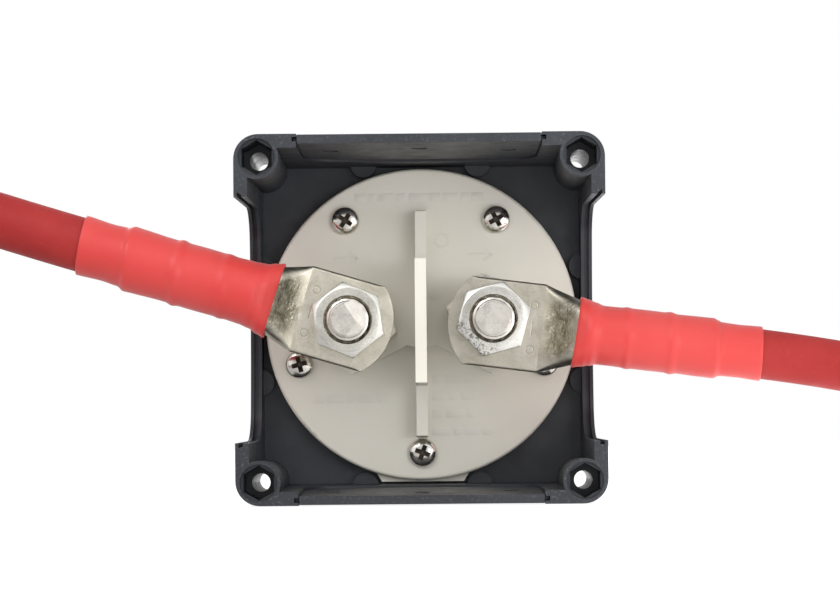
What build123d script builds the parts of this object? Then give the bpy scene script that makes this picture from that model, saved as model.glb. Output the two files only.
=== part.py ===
from build123d import *
import os
from math import cos, pi, radians, sin, tan

# Heavy-duty battery isolator switch with two battery leads. Millimetres.
# +Z is up, the knob faces -Y and the open wiring side faces +Y. The origin is the centre of
# the bottom of the square surround. Depths are measured from the open rear rim towards -Y.

# Driving dimensions
housing_side = 105.0
housing_depth = 58.0
overall_depth = 95.0
wall = 3.9
side_draft = 2.65
cavity_draft = 1.7
floor_depth = 54.5
corner_radius = 7.0
hole_pitch = 92.0
hole_d = 5.2
post_d = 12.5
pocket_af = 8.6
pocket_turn = 30
pocket_depth = 16.0
pocket_mouth_d = 10.6
pocket_mouth_depth = 1.8

arch_half = 34.8
arch_lean = 0.8
arch_fillet = 10.0
slip = 0.3

# Depth of an arched opening in the middle and at its shoulders, by the angle of its wall
panel_arch = (39.0, 35.0)
cable_arch = (46.0, 43.5)
arches = {0: panel_arch, 90: cable_arch, 180: panel_arch, 270: cable_arch}

cover_d = 92.0
cover_face = 47.0
cover_thickness = 3.5
platform_top = 43.0
fin_thickness = 3.3
screw_pitch_r = 38.0

neck_d = 84.0
neck_face = 72.0
cavity_d = 66.0
cavity_floor = 68.0

stud_pitch = 41.4
stud_d = 12.0
stud_tip = 3.0
nut_af = 19.0
nut_top = 6.0
palm_top = 16.0
palm_thickness = 4.5
palm_width = 25.5
collar_af = 24.0

shaft_d = 12.0
knob_d = 56.0
grip_length = 60.0
grip_width = 17.0

barrel_d = 16.0
barrel_rise = 6.75
barrel_start = 28.0
mouth = 65.3
conductor_d = 12.4
conductor_start = 32.0

# Derived places
mid_z = housing_side / 2
rear_y = overall_depth / 2
stud_x = stud_pitch / 2
cover_back = cover_face + cover_thickness
palm_under = palm_top + palm_thickness

# Each lead leaves its stud at its own slope, and its lug hangs a little low on the stud
input_slope = 16.6
output_slope = -7.2
input_drop = 0.35
output_drop = 0.9
input_cable_d = 15.6
output_cable_d = 14.2
lug_hole_d = 14.4

# Leads: hand-chosen route points from the near barrel mouth to the far one
input_route = [
    (83.38, 33.75, 70.82), (106.0, 33.75, 77.56), (131.0, 33.9, 85.6), (156.5, 36.2, 90.6),
    (181.5, 43.0, 90.6), (205.5, 54.8, 84.2), (228.0, 73.8, 68.2), (241.2, 99.2, 46.6),
    (243.0, 128.6, 26.8), (234.6, 159.8, 14.8), (219.1, 187.5, 10.9), (200.6, 210.9, 10.9),
]
output_route = [
    (-85.37, 33.75, 43.42), (-111.17, 33.75, 40.16), (-142.6, 35.3, 33.6), (-174.6, 43.6, 25.6),
    (-203.0, 61.4, 17.4), (-224.4, 89.2, 10.9), (-233.4, 123.0, 8.6), (-229.3, 158.0, 9.2),
    (-217.3, 187.7, 10.6), (-201.4, 213.1, 10.6),
]

os.makedirs("parts", exist_ok=True)


def at_depth(depth):
    """Sketch plane facing the rear: local x is +X, local y is +Z, extrusion runs deeper."""
    return Plane(origin=(0, rear_y - depth, mid_z), x_dir=(1, 0, 0), z_dir=(0, -1, 0))


def side_plane(angle, inset):
    """Plane in one drafted wall: local x runs along it, local y deeper, extrusion runs inward."""
    out = Vector(sin(radians(angle)), 0, cos(radians(angle)))
    along = Vector(cos(radians(angle)), 0, -sin(radians(angle)))
    inward = Vector(0, sin(radians(side_draft)), 0) - out * cos(radians(side_draft))
    origin = Vector(0, rear_y, mid_z) + out * (housing_side / 2) + inward * inset
    return Plane(origin=origin, x_dir=along, z_dir=inward)


def arch(turn, rear, growth):
    """Arched opening in one wall, from the depth `rear` down to a shallow bottom arc."""
    half = arch_half + growth
    low_half = half - arch_lean
    middle, shoulder = (depth + growth for depth in arches[turn])
    with BuildLine() as outline:
        Line((half, rear), (low_half, shoulder))
        ThreePointArc((low_half, shoulder), (0, middle), (-low_half, shoulder))
        Line((-low_half, shoulder), (-half, rear))
        Line((-half, rear), (half, rear))
    with BuildSketch(mode=Mode.PRIVATE) as opening:
        make_face(outline.edges())
        fillet(opening.vertices().sort_by(Axis.Y)[-2:], radius=arch_fillet + growth)
    add(opening.sketch)


def finish(builder, name):
    builder.part.label = name
    export_step(builder.part, f"parts/{name}.step")


# ---------------------------------------------------------------- surround and side panels
boss_x = 16.9
boss_reach = 47.6
boss_clip = 97.0
boss_r = 3.75
boss_height = 3.4
groove_top = 0.9
groove_width = 1.3
groove_reach = 1.2
recess_half = 37.2
recess_depth = 6.0
recess_start = 0.1
front_round = 1.6
through = 1.0

with BuildPart() as housing:
    with BuildSketch(at_depth(0)):
        RectangleRounded(housing_side, housing_side, corner_radius)
    extrude(amount=housing_depth)
    fillet(housing.faces().sort_by(Axis.Y)[0].edges(), radius=front_round)
    for turn in arches:
        with BuildSketch(side_plane(turn, -recess_start)):
            with Locations((0, housing_depth / 2 + through)):
                Rectangle(2 * recess_half, housing_depth + 2 * through)
        extrude(amount=-recess_depth, mode=Mode.SUBTRACT)
    with BuildSketch(at_depth(0)):
        inner = housing_side - 2 * wall
        RectangleRounded(inner, inner, corner_radius - wall)
    extrude(amount=floor_depth, taper=cavity_draft, mode=Mode.SUBTRACT)
    with BuildSketch(at_depth(0)):
        with GridLocations(hole_pitch, hole_pitch, 2, 2):
            Circle(post_d / 2)
    extrude(amount=floor_depth + through)
    with BuildSketch(at_depth(0)):
        with GridLocations(hole_pitch, hole_pitch, 2, 2):
            RegularPolygon(pocket_af / 2, 6, major_radius=False, rotation=pocket_turn)
    extrude(amount=pocket_depth, mode=Mode.SUBTRACT)
    with BuildSketch(at_depth(0)):
        with GridLocations(hole_pitch, hole_pitch, 2, 2):
            Circle(pocket_mouth_d / 2)
    extrude(amount=pocket_mouth_depth, mode=Mode.SUBTRACT)
    with BuildSketch(at_depth(0)):
        with GridLocations(hole_pitch, hole_pitch, 2, 2):
            Circle(hole_d / 2)
    extrude(amount=housing_depth, mode=Mode.SUBTRACT)
    for turn in arches:
        with BuildSketch(side_plane(turn, -recess_start)):
            arch(turn, -through, 0)
        extrude(amount=wall + 2 * recess_start, mode=Mode.SUBTRACT)
        with BuildSketch(side_plane(turn, groove_top)):
            arch(turn, -through, groove_reach)
        extrude(amount=groove_width, mode=Mode.SUBTRACT)
    with BuildSketch(at_depth(floor_depth - boss_height)):
        for side in (1, -1):
            for end in (1, -1):
                with Locations((side * boss_x, end * boss_reach), (side * boss_reach, end * boss_x)):
                    Circle(boss_r)
        Rectangle(boss_clip, boss_clip, mode=Mode.INTERSECT)
    extrude(amount=boss_height + through)
    with BuildSketch(at_depth(floor_depth)):
        Circle(neck_d / 2 + slip)
    extrude(amount=housing_depth - floor_depth, mode=Mode.SUBTRACT)
finish(housing, "housing")

panel_inset = 0.2
panel_thickness = 2.5
panel_rear = 0.4
tongue_rear = 2.0
tongue_slack = 0.2
mark_d = 4.6
mark_depth = 0.25
mark_spots = [(-25.6, 18.0), (0.0, 13.5), (25.6, 18.0)]

for name, turn in (("top_side_panel", 0), ("bottom_side_panel", 180)):
    with BuildPart() as panel:
        with BuildSketch(side_plane(turn, panel_inset)):
            arch(turn, panel_rear, -slip)
        extrude(amount=panel_thickness)
        with BuildSketch(side_plane(turn, groove_top + tongue_slack)):
            arch(turn, tongue_rear, groove_reach - slip)
        extrude(amount=groove_width - 2 * tongue_slack)
        with BuildSketch(side_plane(turn, panel_inset + panel_thickness - mark_depth)):
            with Locations(*mark_spots):
                Circle(mark_d / 2)
        extrude(amount=mark_depth, mode=Mode.SUBTRACT)
    finish(panel, name)

# ---------------------------------------------------------------- switch body
flange_d = 88.0
neck_round = 1.2
shaft_gap = 0.1
gasket_outer = 34.9
gasket_inner = 33.3
gasket_depth = 1.2
seal_groove_depth = 70.0
seal_r = 1.2
screw_hole_d = 4.0
screw_length = 12.0
detent_r = 3.0

with BuildPart() as switch_body:
    with BuildSketch(at_depth(cover_back)):
        Circle(flange_d / 2)
    extrude(amount=floor_depth - cover_back)
    with BuildSketch(at_depth(floor_depth)):
        Circle(neck_d / 2)
    extrude(amount=neck_face - floor_depth)
    fillet(switch_body.faces().sort_by(Axis.Y)[0].edges(), radius=neck_round)
    with BuildSketch(at_depth(cover_back)):
        Circle(cavity_d / 2)
        with PolarLocations(cavity_d / 2, 4, start_angle=45):
            Circle(detent_r)
    extrude(amount=cavity_floor - cover_back, mode=Mode.SUBTRACT)
    with BuildSketch(at_depth(cavity_floor)):
        Circle(shaft_d / 2 + shaft_gap)
    extrude(amount=neck_face - cavity_floor, mode=Mode.SUBTRACT)
    with BuildSketch(at_depth(seal_groove_depth - seal_r)):
        Circle(shaft_d / 2 + shaft_gap + 2 * seal_r)
    extrude(amount=2 * seal_r, mode=Mode.SUBTRACT)
    with BuildSketch(at_depth(cover_back)):
        with PolarLocations(screw_pitch_r, 5, start_angle=-90):
            Circle(screw_hole_d / 2)
    extrude(amount=screw_length - cover_thickness + through, mode=Mode.SUBTRACT)
finish(switch_body, "switch_body")

# ---------------------------------------------------------------- rear cover
platform_half = 14.85
platform_reach = 12.86
waist_half = 6.4
waist_rise = 0.8
waist_x = 4.4
overlap = 0.5
cover_round = 1.0
fin_low_half = 33.6
fin_low_depth = 40.0
fin_low_lean = 0.6
fin_high_half = 17.8
fin_high_lean = 0.5
fin_high_depth = 16.0
tab_half = 13.7
tab_reach = 46.5
tab_corner = 2.6
tab_lean = 1.6
tab_root = 36.0
tab_gap = 0.2
seal_width = 1.2
screw_slack = 0.2

with BuildPart() as rear_cover:
    with BuildSketch(at_depth(cover_face)):
        Circle(cover_d / 2)
    extrude(amount=cover_thickness)
    fillet(rear_cover.faces().sort_by(Axis.Y)[-1].edges(), radius=cover_round)
    with BuildSketch(at_depth(platform_top)):
        for side in (1, -1):
            with BuildLine():
                Polyline(
                    (0, waist_half + waist_rise), (side * waist_x, waist_half),
                    (side * stud_x, platform_half),
                    (side * (stud_x + platform_reach), platform_half / 2),
                    (side * (stud_x + platform_reach), -platform_half / 2),
                    (side * stud_x, -platform_half), (side * waist_x, -waist_half),
                    (0, -waist_half - waist_rise), close=True,
                )
            make_face()
    extrude(amount=cover_face - platform_top + overlap)
    with BuildSketch(Plane(origin=(fin_thickness / 2, rear_y, mid_z), x_dir=(0, 0, 1), z_dir=(-1, 0, 0))):
        for side in (1, -1):
            with BuildLine():
                Polyline(
                    (0, -cover_face - overlap), (side * fin_low_half, -cover_face - overlap),
                    (side * (fin_low_half - fin_low_lean), -fin_low_depth),
                    (side * (fin_high_half + fin_high_lean), -fin_low_depth),
                    (side * fin_high_half, -fin_high_depth), (0, -fin_high_depth), close=True,
                )
            make_face()
    extrude(amount=fin_thickness)
    with BuildSketch(at_depth(cover_back - overlap)):
        with BuildLine():
            Polyline(
                (-tab_half, -tab_root), (-tab_half, -tab_reach + tab_corner),
                (-tab_half + tab_lean, -tab_reach), (tab_half - tab_lean, -tab_reach),
                (tab_half, -tab_reach + tab_corner), (tab_half, -tab_root), close=True,
            )
        make_face()
        Circle(flange_d / 2 + tab_gap, mode=Mode.SUBTRACT)
    extrude(amount=floor_depth - cover_back + overlap - tab_gap)
    with BuildSketch(at_depth(platform_top)):
        with Locations((stud_x, 0), (-stud_x, 0)):
            Circle(stud_d / 2 + seal_width)
    extrude(amount=cover_back - platform_top, mode=Mode.SUBTRACT)
    with BuildSketch(at_depth(cover_face)):
        with PolarLocations(screw_pitch_r, 5, start_angle=-90):
            Circle(screw_hole_d / 2 + screw_slack)
    extrude(amount=cover_thickness, mode=Mode.SUBTRACT)
    with BuildSketch(at_depth(cover_back - gasket_depth / 2)):
        Circle(gasket_outer)
        Circle(gasket_inner, mode=Mode.SUBTRACT)
    extrude(amount=gasket_depth / 2, mode=Mode.SUBTRACT)
finish(rear_cover, "rear_cover")

with BuildPart() as cover_gasket:
    with BuildSketch(at_depth(cover_back - gasket_depth / 2)):
        Circle(gasket_outer)
        Circle(gasket_inner, mode=Mode.SUBTRACT)
    extrude(amount=gasket_depth / 2)
finish(cover_gasket, "cover_gasket")

screw_head_d = 8.0
screw_head_h = 2.6
screw_head_round = 1.5
screw_turn = 25
thread_gap = 0.02
recess_d = 4.4
recess_w = 1.1
recess_h = 1.6

with BuildPart() as cover_screws:
    with BuildSketch(at_depth(cover_face - screw_head_h)):
        with PolarLocations(screw_pitch_r, 5, start_angle=-90):
            Circle(screw_head_d / 2)
    extrude(amount=screw_head_h)
    fillet(cover_screws.faces().group_by(Axis.Y)[-1].edges(), radius=screw_head_round)
    with BuildSketch(at_depth(cover_face - screw_slack)):
        with PolarLocations(screw_pitch_r, 5, start_angle=-90):
            Circle(screw_hole_d / 2 - thread_gap)
    extrude(amount=screw_length + screw_slack)
    with BuildSketch(at_depth(cover_face - screw_head_h)):
        with PolarLocations(screw_pitch_r, 5, start_angle=-90):
            Rectangle(recess_d, recess_w, rotation=screw_turn)
            Rectangle(recess_w, recess_d, rotation=screw_turn)
    extrude(amount=recess_h, mode=Mode.SUBTRACT)
finish(cover_screws, "cover_screws")

# ---------------------------------------------------------------- terminals
pad_side = 17.0
pad_corner = 1.5
pad_thickness = 4.0
contact_d = 9.0
contact_thickness = 1.2
contact_chamfer = 0.3
stud_chamfer = 1.2
cone_inset = 0.3
cone_margin = 0.5
nut_turns = {"input": 22.5, "output": 45.8}
collar_turns = {"input": 12.0, "output": 17.0}
sides = {"input": 1, "output": -1}


def hex_with_chamfers(top, bottom, across_flats, turn, side):
    """Hexagonal nut or base on a stud, with both ends turned to a shallow cone."""
    corner = across_flats / 2 / cos(radians(30))
    drop = (corner - across_flats / 2) * tan(radians(30))
    half = across_flats / 2 - cone_inset
    beyond = corner + cone_margin
    y_top = rear_y - top
    y_bottom = rear_y - bottom
    with BuildPart() as piece:
        with BuildSketch(at_depth(top)):
            with Locations((side * stud_x, 0)):
                RegularPolygon(corner, 6, rotation=turn)
        extrude(amount=bottom - top)
        with BuildSketch(Plane.XY.offset(mid_z)):
            with Locations((side * stud_x, 0)):
                Polygon(
                    (0, y_bottom), (half, y_bottom), (beyond, y_bottom + drop + cone_margin),
                    (beyond, y_top - drop - cone_margin), (half, y_top), (0, y_top), align=None,
                )
        revolve(axis=Axis((side * stud_x, 0, mid_z), (0, 1, 0)), mode=Mode.INTERSECT)
        with BuildSketch(at_depth(top)):
            with Locations((side * stud_x, 0)):
                Circle(stud_d / 2)
        extrude(amount=bottom - top, mode=Mode.SUBTRACT)
    return piece


for lead, side in sides.items():
    collar = hex_with_chamfers(palm_under, platform_top, collar_af, collar_turns[lead], side)
    finish(collar, f"{lead}_collar")
    nut = hex_with_chamfers(nut_top, palm_top, nut_af, nut_turns[lead], side)
    finish(nut, f"{lead}_nut")

    with BuildPart() as stud:
        with BuildSketch(at_depth(stud_tip)):
            with Locations((side * stud_x, 0)):
                Circle(stud_d / 2)
        extrude(amount=cover_back - stud_tip)
        chamfer(stud.faces().sort_by(Axis.Y)[-1].edges(), length=stud_chamfer)
        with BuildSketch(at_depth(cover_back)):
            with Locations((side * stud_x, 0)):
                RectangleRounded(pad_side, pad_side, pad_corner)
        extrude(amount=pad_thickness)
    finish(stud, f"{lead}_stud")

with BuildPart() as stud_seals:
    with BuildSketch(at_depth(platform_top)):
        with Locations((stud_x, 0), (-stud_x, 0)):
            Circle(stud_d / 2 + seal_width)
            Circle(stud_d / 2, mode=Mode.SUBTRACT)
    extrude(amount=cover_back - platform_top)
finish(stud_seals, "stud_seals")

with BuildPart() as fixed_contacts:
    with BuildSketch(at_depth(cover_back + pad_thickness)):
        with Locations((stud_x, 0), (-stud_x, 0)):
            Circle(contact_d / 2)
    extrude(amount=contact_thickness)
    chamfer(fixed_contacts.faces().group_by(Axis.Y)[0].edges(), length=contact_chamfer)
finish(fixed_contacts, "fixed_contacts")

# ---------------------------------------------------------------- rotor group (knob at off)
bar_top = cover_back + pad_thickness + contact_thickness + slip
bar_thickness = 3.6
bar_width = 13.0
bar_length = 54.0
bar_corner = 3.0
bar_hole_r = 4.0
hub_r = 3.9
carrier_top = 61.5
carrier_bottom = 67.4
carrier_d = 58.0
ball_r = 2.0
ball_reach = 3.6
ball_spot = carrier_d / 2 + ball_reach - ball_r
ball_depth = (carrier_top + carrier_bottom) / 2
spring_bore = 7.0
knob_under = 73.6
shaft_end = 86.0
thread_r = 2.1
thread_reach = 12.0

with BuildPart() as contact_bar:
    with BuildSketch(at_depth(bar_top)):
        RectangleRounded(bar_width, bar_length, bar_corner)
    extrude(amount=bar_thickness)
    with BuildSketch(at_depth(bar_top)):
        Circle(bar_hole_r)
    extrude(amount=bar_thickness, mode=Mode.SUBTRACT)
finish(contact_bar, "contact_bar")

spring_rise = (carrier_top - bar_top - bar_thickness) / 2
spring_sheet = 0.5
spring_gap = 0.02
spring_inner = 4.6
spring_outer = 9.6
bar_under_y = rear_y - bar_top - bar_thickness
spring_mid_y = bar_under_y - spring_rise

with BuildPart() as contact_springs:
    for way in (1, -1):
        crown = spring_mid_y + way * spring_rise
        rim = spring_mid_y + way * spring_gap
        with BuildSketch(Plane.XY.offset(mid_z)):
            Polygon(
                (spring_inner, crown), (spring_inner, crown - way * spring_sheet),
                (spring_outer, rim), (spring_outer, rim + way * spring_sheet), align=None,
            )
        revolve(axis=Axis((0, 0, mid_z), (0, 1, 0)))
finish(contact_springs, "contact_springs")

with BuildPart() as rotor:
    with BuildSketch(at_depth(carrier_top)):
        Circle(carrier_d / 2)
    extrude(amount=carrier_bottom - carrier_top)
    with BuildSketch(at_depth(carrier_bottom)):
        Circle(shaft_d / 2)
    extrude(amount=shaft_end - carrier_bottom)
    with BuildSketch(at_depth(bar_top)):
        Circle(hub_r)
    extrude(amount=carrier_top - bar_top)
    with BuildSketch(Plane.XY.offset(mid_z)):
        for side in (1, -1):
            with Locations((side * (carrier_d / 2 - spring_bore / 2), rear_y - ball_depth)):
                Rectangle(spring_bore, 2 * ball_r)
    extrude(amount=ball_r, both=True, mode=Mode.SUBTRACT)
    with BuildSketch(at_depth(shaft_end)):
        Circle(thread_r)
    extrude(amount=-thread_reach, mode=Mode.SUBTRACT)
finish(rotor, "rotor")

with BuildPart() as detent_balls:
    with Locations((ball_spot, rear_y - ball_depth, mid_z), (-ball_spot, rear_y - ball_depth, mid_z)):
        Sphere(ball_r)
finish(detent_balls, "detent_balls")

detent_coil_r = 1.8
detent_core_r = 1.2
spring_end = ball_spot - ball_r
spring_start = carrier_d / 2 - spring_bore

with BuildPart() as detent_springs:
    for side in (1, -1):
        seat = Plane(origin=(side * spring_start, rear_y - ball_depth, mid_z), z_dir=(side, 0, 0))
        with BuildSketch(seat):
            Circle(detent_coil_r)
            Circle(detent_core_r, mode=Mode.SUBTRACT)
        extrude(amount=spring_end - spring_start)
finish(detent_springs, "detent_springs")

seal_squeeze = 0.05

with BuildPart() as shaft_seal:
    with BuildSketch(Plane.XY.offset(mid_z)):
        with Locations((shaft_d / 2 + shaft_gap + seal_squeeze + seal_r, rear_y - seal_groove_depth)):
            Circle(seal_r - seal_squeeze)
    revolve(axis=Axis((0, 0, mid_z), (0, 1, 0)))
finish(shaft_seal, "shaft_seal")

# ---------------------------------------------------------------- front: bezel, dial, knob
bezel_d = 92.0
bezel_depth = 5.0
bezel_round = 2.2
flute_count = 24
flute_r = 1.3
flute_out = 0.4
flute_depth = 3.4
dial_thickness = 0.8
dial_inner_r = 20.0
dial_margin = 2.0

with BuildPart() as front_bezel:
    with BuildSketch(at_depth(housing_depth)):
        Circle(bezel_d / 2)
        Circle(neck_d / 2, mode=Mode.SUBTRACT)
    extrude(amount=bezel_depth)
    outer_rim = front_bezel.faces().sort_by(Axis.Y)[0].edges().sort_by(SortBy.LENGTH)[-1]
    fillet(outer_rim, radius=bezel_round)
    with BuildSketch(at_depth(housing_depth + bezel_depth)):
        with PolarLocations(bezel_d / 2 + flute_out, flute_count):
            Circle(flute_r)
    extrude(amount=-flute_depth, mode=Mode.SUBTRACT)
finish(front_bezel, "front_bezel")

dial_mark_r = 32.5
off_ring_r = 2.6
off_ring_inner_r = 1.9
on_bar = (5.2, 1.0)
dot_r = 0.5
dot_count = 7
dot_start = 12
dot_range = 66
engraving = 0.3

with BuildPart() as dial_plate:
    with BuildSketch(at_depth(neck_face)):
        Circle(neck_d / 2 - dial_margin)
        Circle(dial_inner_r, mode=Mode.SUBTRACT)
    extrude(amount=dial_thickness)
    with BuildSketch(at_depth(neck_face + dial_thickness - engraving)):
        with Locations((0, dial_mark_r)):
            Circle(off_ring_r)
            Circle(off_ring_inner_r, mode=Mode.SUBTRACT)
        with Locations((dial_mark_r, 0)):
            Rectangle(*on_bar)
        with PolarLocations(dial_mark_r, dot_count, start_angle=dot_start, angular_range=dot_range):
            Circle(dot_r)
    extrude(amount=engraving, mode=Mode.SUBTRACT)
finish(dial_plate, "dial_plate")

skirt_bottom = 80.0
skirt_round = 1.8
grip_round = 2.4
grip_corner_x = grip_width / 2 * 0.8
grip_belly_x = grip_width / 2 * 1.05
grip_corner_y = grip_length / 2 - 6
screw_way_r = 2.3
screw_seat = 5.0
screw_seat_r = 6.0
knob_screw_r = 4.0
knob_screw_h = 2.6
thread_slack = 0.05
cap_depth = 2.2
cap_thickness = 2.0
cap_round = 0.8
pointer = (9.0, 2.4)
pointer_inset = 8.0
pointer_depth = 1.0

with BuildPart() as knob:
    with BuildSketch(at_depth(knob_under)):
        Circle(knob_d / 2)
    extrude(amount=skirt_bottom - knob_under)
    fillet(knob.faces().sort_by(Axis.Y)[0].edges(), radius=skirt_round)
    with BuildSketch(at_depth(skirt_bottom - overlap)):
        with BuildLine():
            for side in (1, -1):
                ThreePointArc(
                    (side * grip_corner_x, -grip_corner_y), (side * grip_belly_x, 0),
                    (side * grip_corner_x, grip_corner_y),
                )
                ThreePointArc(
                    (grip_corner_x, side * grip_corner_y), (0, side * grip_length / 2),
                    (-grip_corner_x, side * grip_corner_y),
                )
        make_face()
    extrude(amount=overall_depth - skirt_bottom + overlap)
    fillet(knob.faces().sort_by(Axis.Y)[0].edges(), radius=grip_round)
    with BuildSketch(at_depth(knob_under)):
        Circle(shaft_d / 2)
    extrude(amount=shaft_end - knob_under, mode=Mode.SUBTRACT)
    with BuildSketch(at_depth(shaft_end)):
        Circle(screw_way_r)
    extrude(amount=overall_depth - shaft_end, mode=Mode.SUBTRACT)
    with BuildSketch(at_depth(overall_depth)):
        Circle(screw_seat_r)
    extrude(amount=-screw_seat, mode=Mode.SUBTRACT)
    with BuildSketch(at_depth(overall_depth)):
        with Locations((0, grip_length / 2 - pointer_inset)):
            SlotOverall(*pointer, rotation=90)
    extrude(amount=-pointer_depth, mode=Mode.SUBTRACT)
finish(knob, "knob")

with BuildPart() as knob_screw:
    with BuildSketch(at_depth(overall_depth - screw_seat)):
        Circle(knob_screw_r)
    extrude(amount=knob_screw_h)
    with BuildSketch(at_depth(overall_depth - screw_seat)):
        Circle(thread_r - thread_slack)
    extrude(amount=-thread_reach)
finish(knob_screw, "knob_screw")

with BuildPart() as knob_cap:
    with BuildSketch(at_depth(overall_depth - cap_depth)):
        Circle(screw_seat_r)
    extrude(amount=cap_thickness)
    fillet(knob_cap.faces().sort_by(Axis.Y)[0].edges(), radius=cap_round)
finish(knob_cap, "knob_cap")

# ---------------------------------------------------------------- leads
palm_tip = 12.8
palm_corner = 7.3
bend = 14.0
bend_corner = 0.6
# Cross-section between the palm and the barrel: along, width, height, rise, corner radius
waist = (21.2, 19.6, 10.4, 4.6, 5.1)
crimp_d = barrel_d - 0.6
crimp_corner = barrel_d / 2 - 1.2
sleeve_wall = 0.6
flare_end = 3.5
flare_slack = 0.3
taper_end = 8.0
step_half = 2.0
cable_gap = 0.15
tangent_share = 0.45


def across(place, along, rise):
    """Plane across a lug at a distance from its hole and a height over the palm's underside."""
    origin = place.from_local_coords(Vector(along, 0, rise))
    return Plane(origin=origin, x_dir=place.y_dir, z_dir=place.x_dir)


def lug(place):
    """Tubular lug. `place` is at the hole on the palm's underside, x along the cable."""
    sections = (
        (bend, palm_width, palm_thickness, palm_thickness / 2, bend_corner),
        waist,
        (barrel_start, crimp_d, crimp_d, barrel_rise, crimp_corner),
    )
    with BuildPart() as piece:
        with BuildSketch(place):
            with BuildLine():
                Polyline(
                    (-palm_corner, palm_width / 2), (bend, palm_width / 2),
                    (bend, -palm_width / 2), (-palm_corner, -palm_width / 2),
                )
                ThreePointArc(
                    (-palm_corner, -palm_width / 2), (-palm_tip, 0), (-palm_corner, palm_width / 2)
                )
            make_face()
            Circle(lug_hole_d / 2, mode=Mode.SUBTRACT)
        extrude(amount=palm_thickness)
        for along, width, height, rise, corner in sections:
            with BuildSketch(across(place, along, rise)):
                RectangleRounded(width, height, corner)
        loft()
        with BuildSketch(across(place, barrel_start, barrel_rise)):
            Circle(barrel_d / 2)
        extrude(amount=mouth - barrel_start)
        with BuildSketch(across(place, conductor_start, barrel_rise)):
            Circle(conductor_d / 2)
        extrude(amount=mouth - conductor_start, mode=Mode.SUBTRACT)
    return piece


def sleeve(place, start, end, cable_d, flare_d, body_d, end_d):
    """Heat-shrink sleeve over the barrel and the first stretch of cable."""
    cable_bore = cable_d / 2 + cable_gap
    lap = Plane(
        origin=place.from_local_coords(Vector(0, 0, barrel_rise)),
        x_dir=place.x_dir, z_dir=-place.y_dir,
    )
    with BuildPart() as piece:
        with BuildSketch(lap):
            with BuildLine():
                Polyline(
                    (start, flare_d / 2 - sleeve_wall), (start, flare_d / 2),
                    (start + flare_end, flare_d / 2 - flare_slack),
                    (start + taper_end, body_d / 2), (mouth - step_half, body_d / 2),
                    (mouth + step_half, end_d / 2), (end, end_d / 2),
                    (end, cable_bore), (mouth, cable_bore), (mouth, barrel_d / 2),
                    (barrel_start, barrel_d / 2), close=True,
                )
            make_face()
        revolve(axis=Axis(lap.origin, place.x_dir))
    return piece


def route_radii(points):
    """Arc radius at each corner of a route: a share of the shorter run over tan(half the turn)."""
    vectors = [Vector(*point) for point in points]
    radii = []
    for before, corner, after in zip(vectors, vectors[1:], vectors[2:]):
        shorter = min((corner - before).length, (after - corner).length)
        turn = (corner - before).get_angle(after - corner)
        radii.append(tangent_share * shorter / tan(radians(turn / 2)))
    return radii


def cable(name, route, diameter):
    """Plain tube along a route of straight runs joined by tangent arcs."""
    radii = route_radii(route)
    with BuildPart() as piece:
        with BuildLine() as path:
            FilletPolyline(*route, radius=radii)
        with BuildSketch(Plane(origin=path.wire() @ 0, z_dir=path.wire() % 0)):
            Circle(diameter / 2)
        sweep(path=path.wire())
    length = path.wire().length
    swept = pi * (diameter / 2) ** 2 * length
    print(name, "length", round(length, 1), "volume ratio", round(piece.part.volume / swept, 4))
    print(name, "radii", [round(radius) for radius in radii])
    return piece


def near_place(side, slope, drop):
    """Palm plane of a lug on its stud: x outward along the lead, z towards the rear."""
    out = Vector(side * cos(radians(slope)), 0, sin(radians(slope)))
    down = Vector(side * sin(radians(slope)), 0, -cos(radians(slope)))
    hole = Vector(side * stud_x, rear_y - palm_under, mid_z) + down * drop
    return Plane(origin=hole, x_dir=out, z_dir=(0, 1, 0))


def far_place(route):
    """Palm plane of the far lug: its barrel's mouth faces back along the route's last run."""
    end = Vector(*route[-1])
    back = (Vector(*route[-2]) - end).normalized()
    up = (Vector(0, 0, 1) - back * back.Z).normalized()
    hole = end - back * mouth - up * barrel_rise
    return Plane(origin=hole, x_dir=back, z_dir=up)


# Each sleeve: start and end from the lug's hole, diameters at its flare, body and cable end
input_sleeve_sizes = (22.0, 79.3, 21.8, 18.6, 17.2)
output_sleeve_sizes = (24.0, 76.9, 20.0, 17.6, 15.6)
leads = {
    "input": (1, input_slope, input_drop, input_route, input_cable_d, input_sleeve_sizes),
    "output": (-1, output_slope, output_drop, output_route, output_cable_d, output_sleeve_sizes),
}
places = []

for lead, (side, slope, drop, route, cable_d, sleeve_sizes) in leads.items():
    near = near_place(side, slope, drop)
    start, end, *diameters = sleeve_sizes
    for place, prefix in ((near, lead), (far_place(route), f"{lead}_far")):
        finish(lug(place), f"{prefix}_lug")
        finish(sleeve(place, start, end, cable_d, *diameters), f"{prefix}_sleeve")
        places.append(place)
    finish(cable(f"{lead}_cable", route, cable_d), f"{lead}_cable")

with BuildPart() as conductor_ends:
    for place in places:
        with BuildSketch(across(place, conductor_start, barrel_rise)):
            Circle(conductor_d / 2)
        extrude(amount=mouth - conductor_start)
finish(conductor_ends, "conductor_ends")
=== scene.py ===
import math

import bmesh
import bpy
from mathutils import Matrix, Vector


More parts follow.
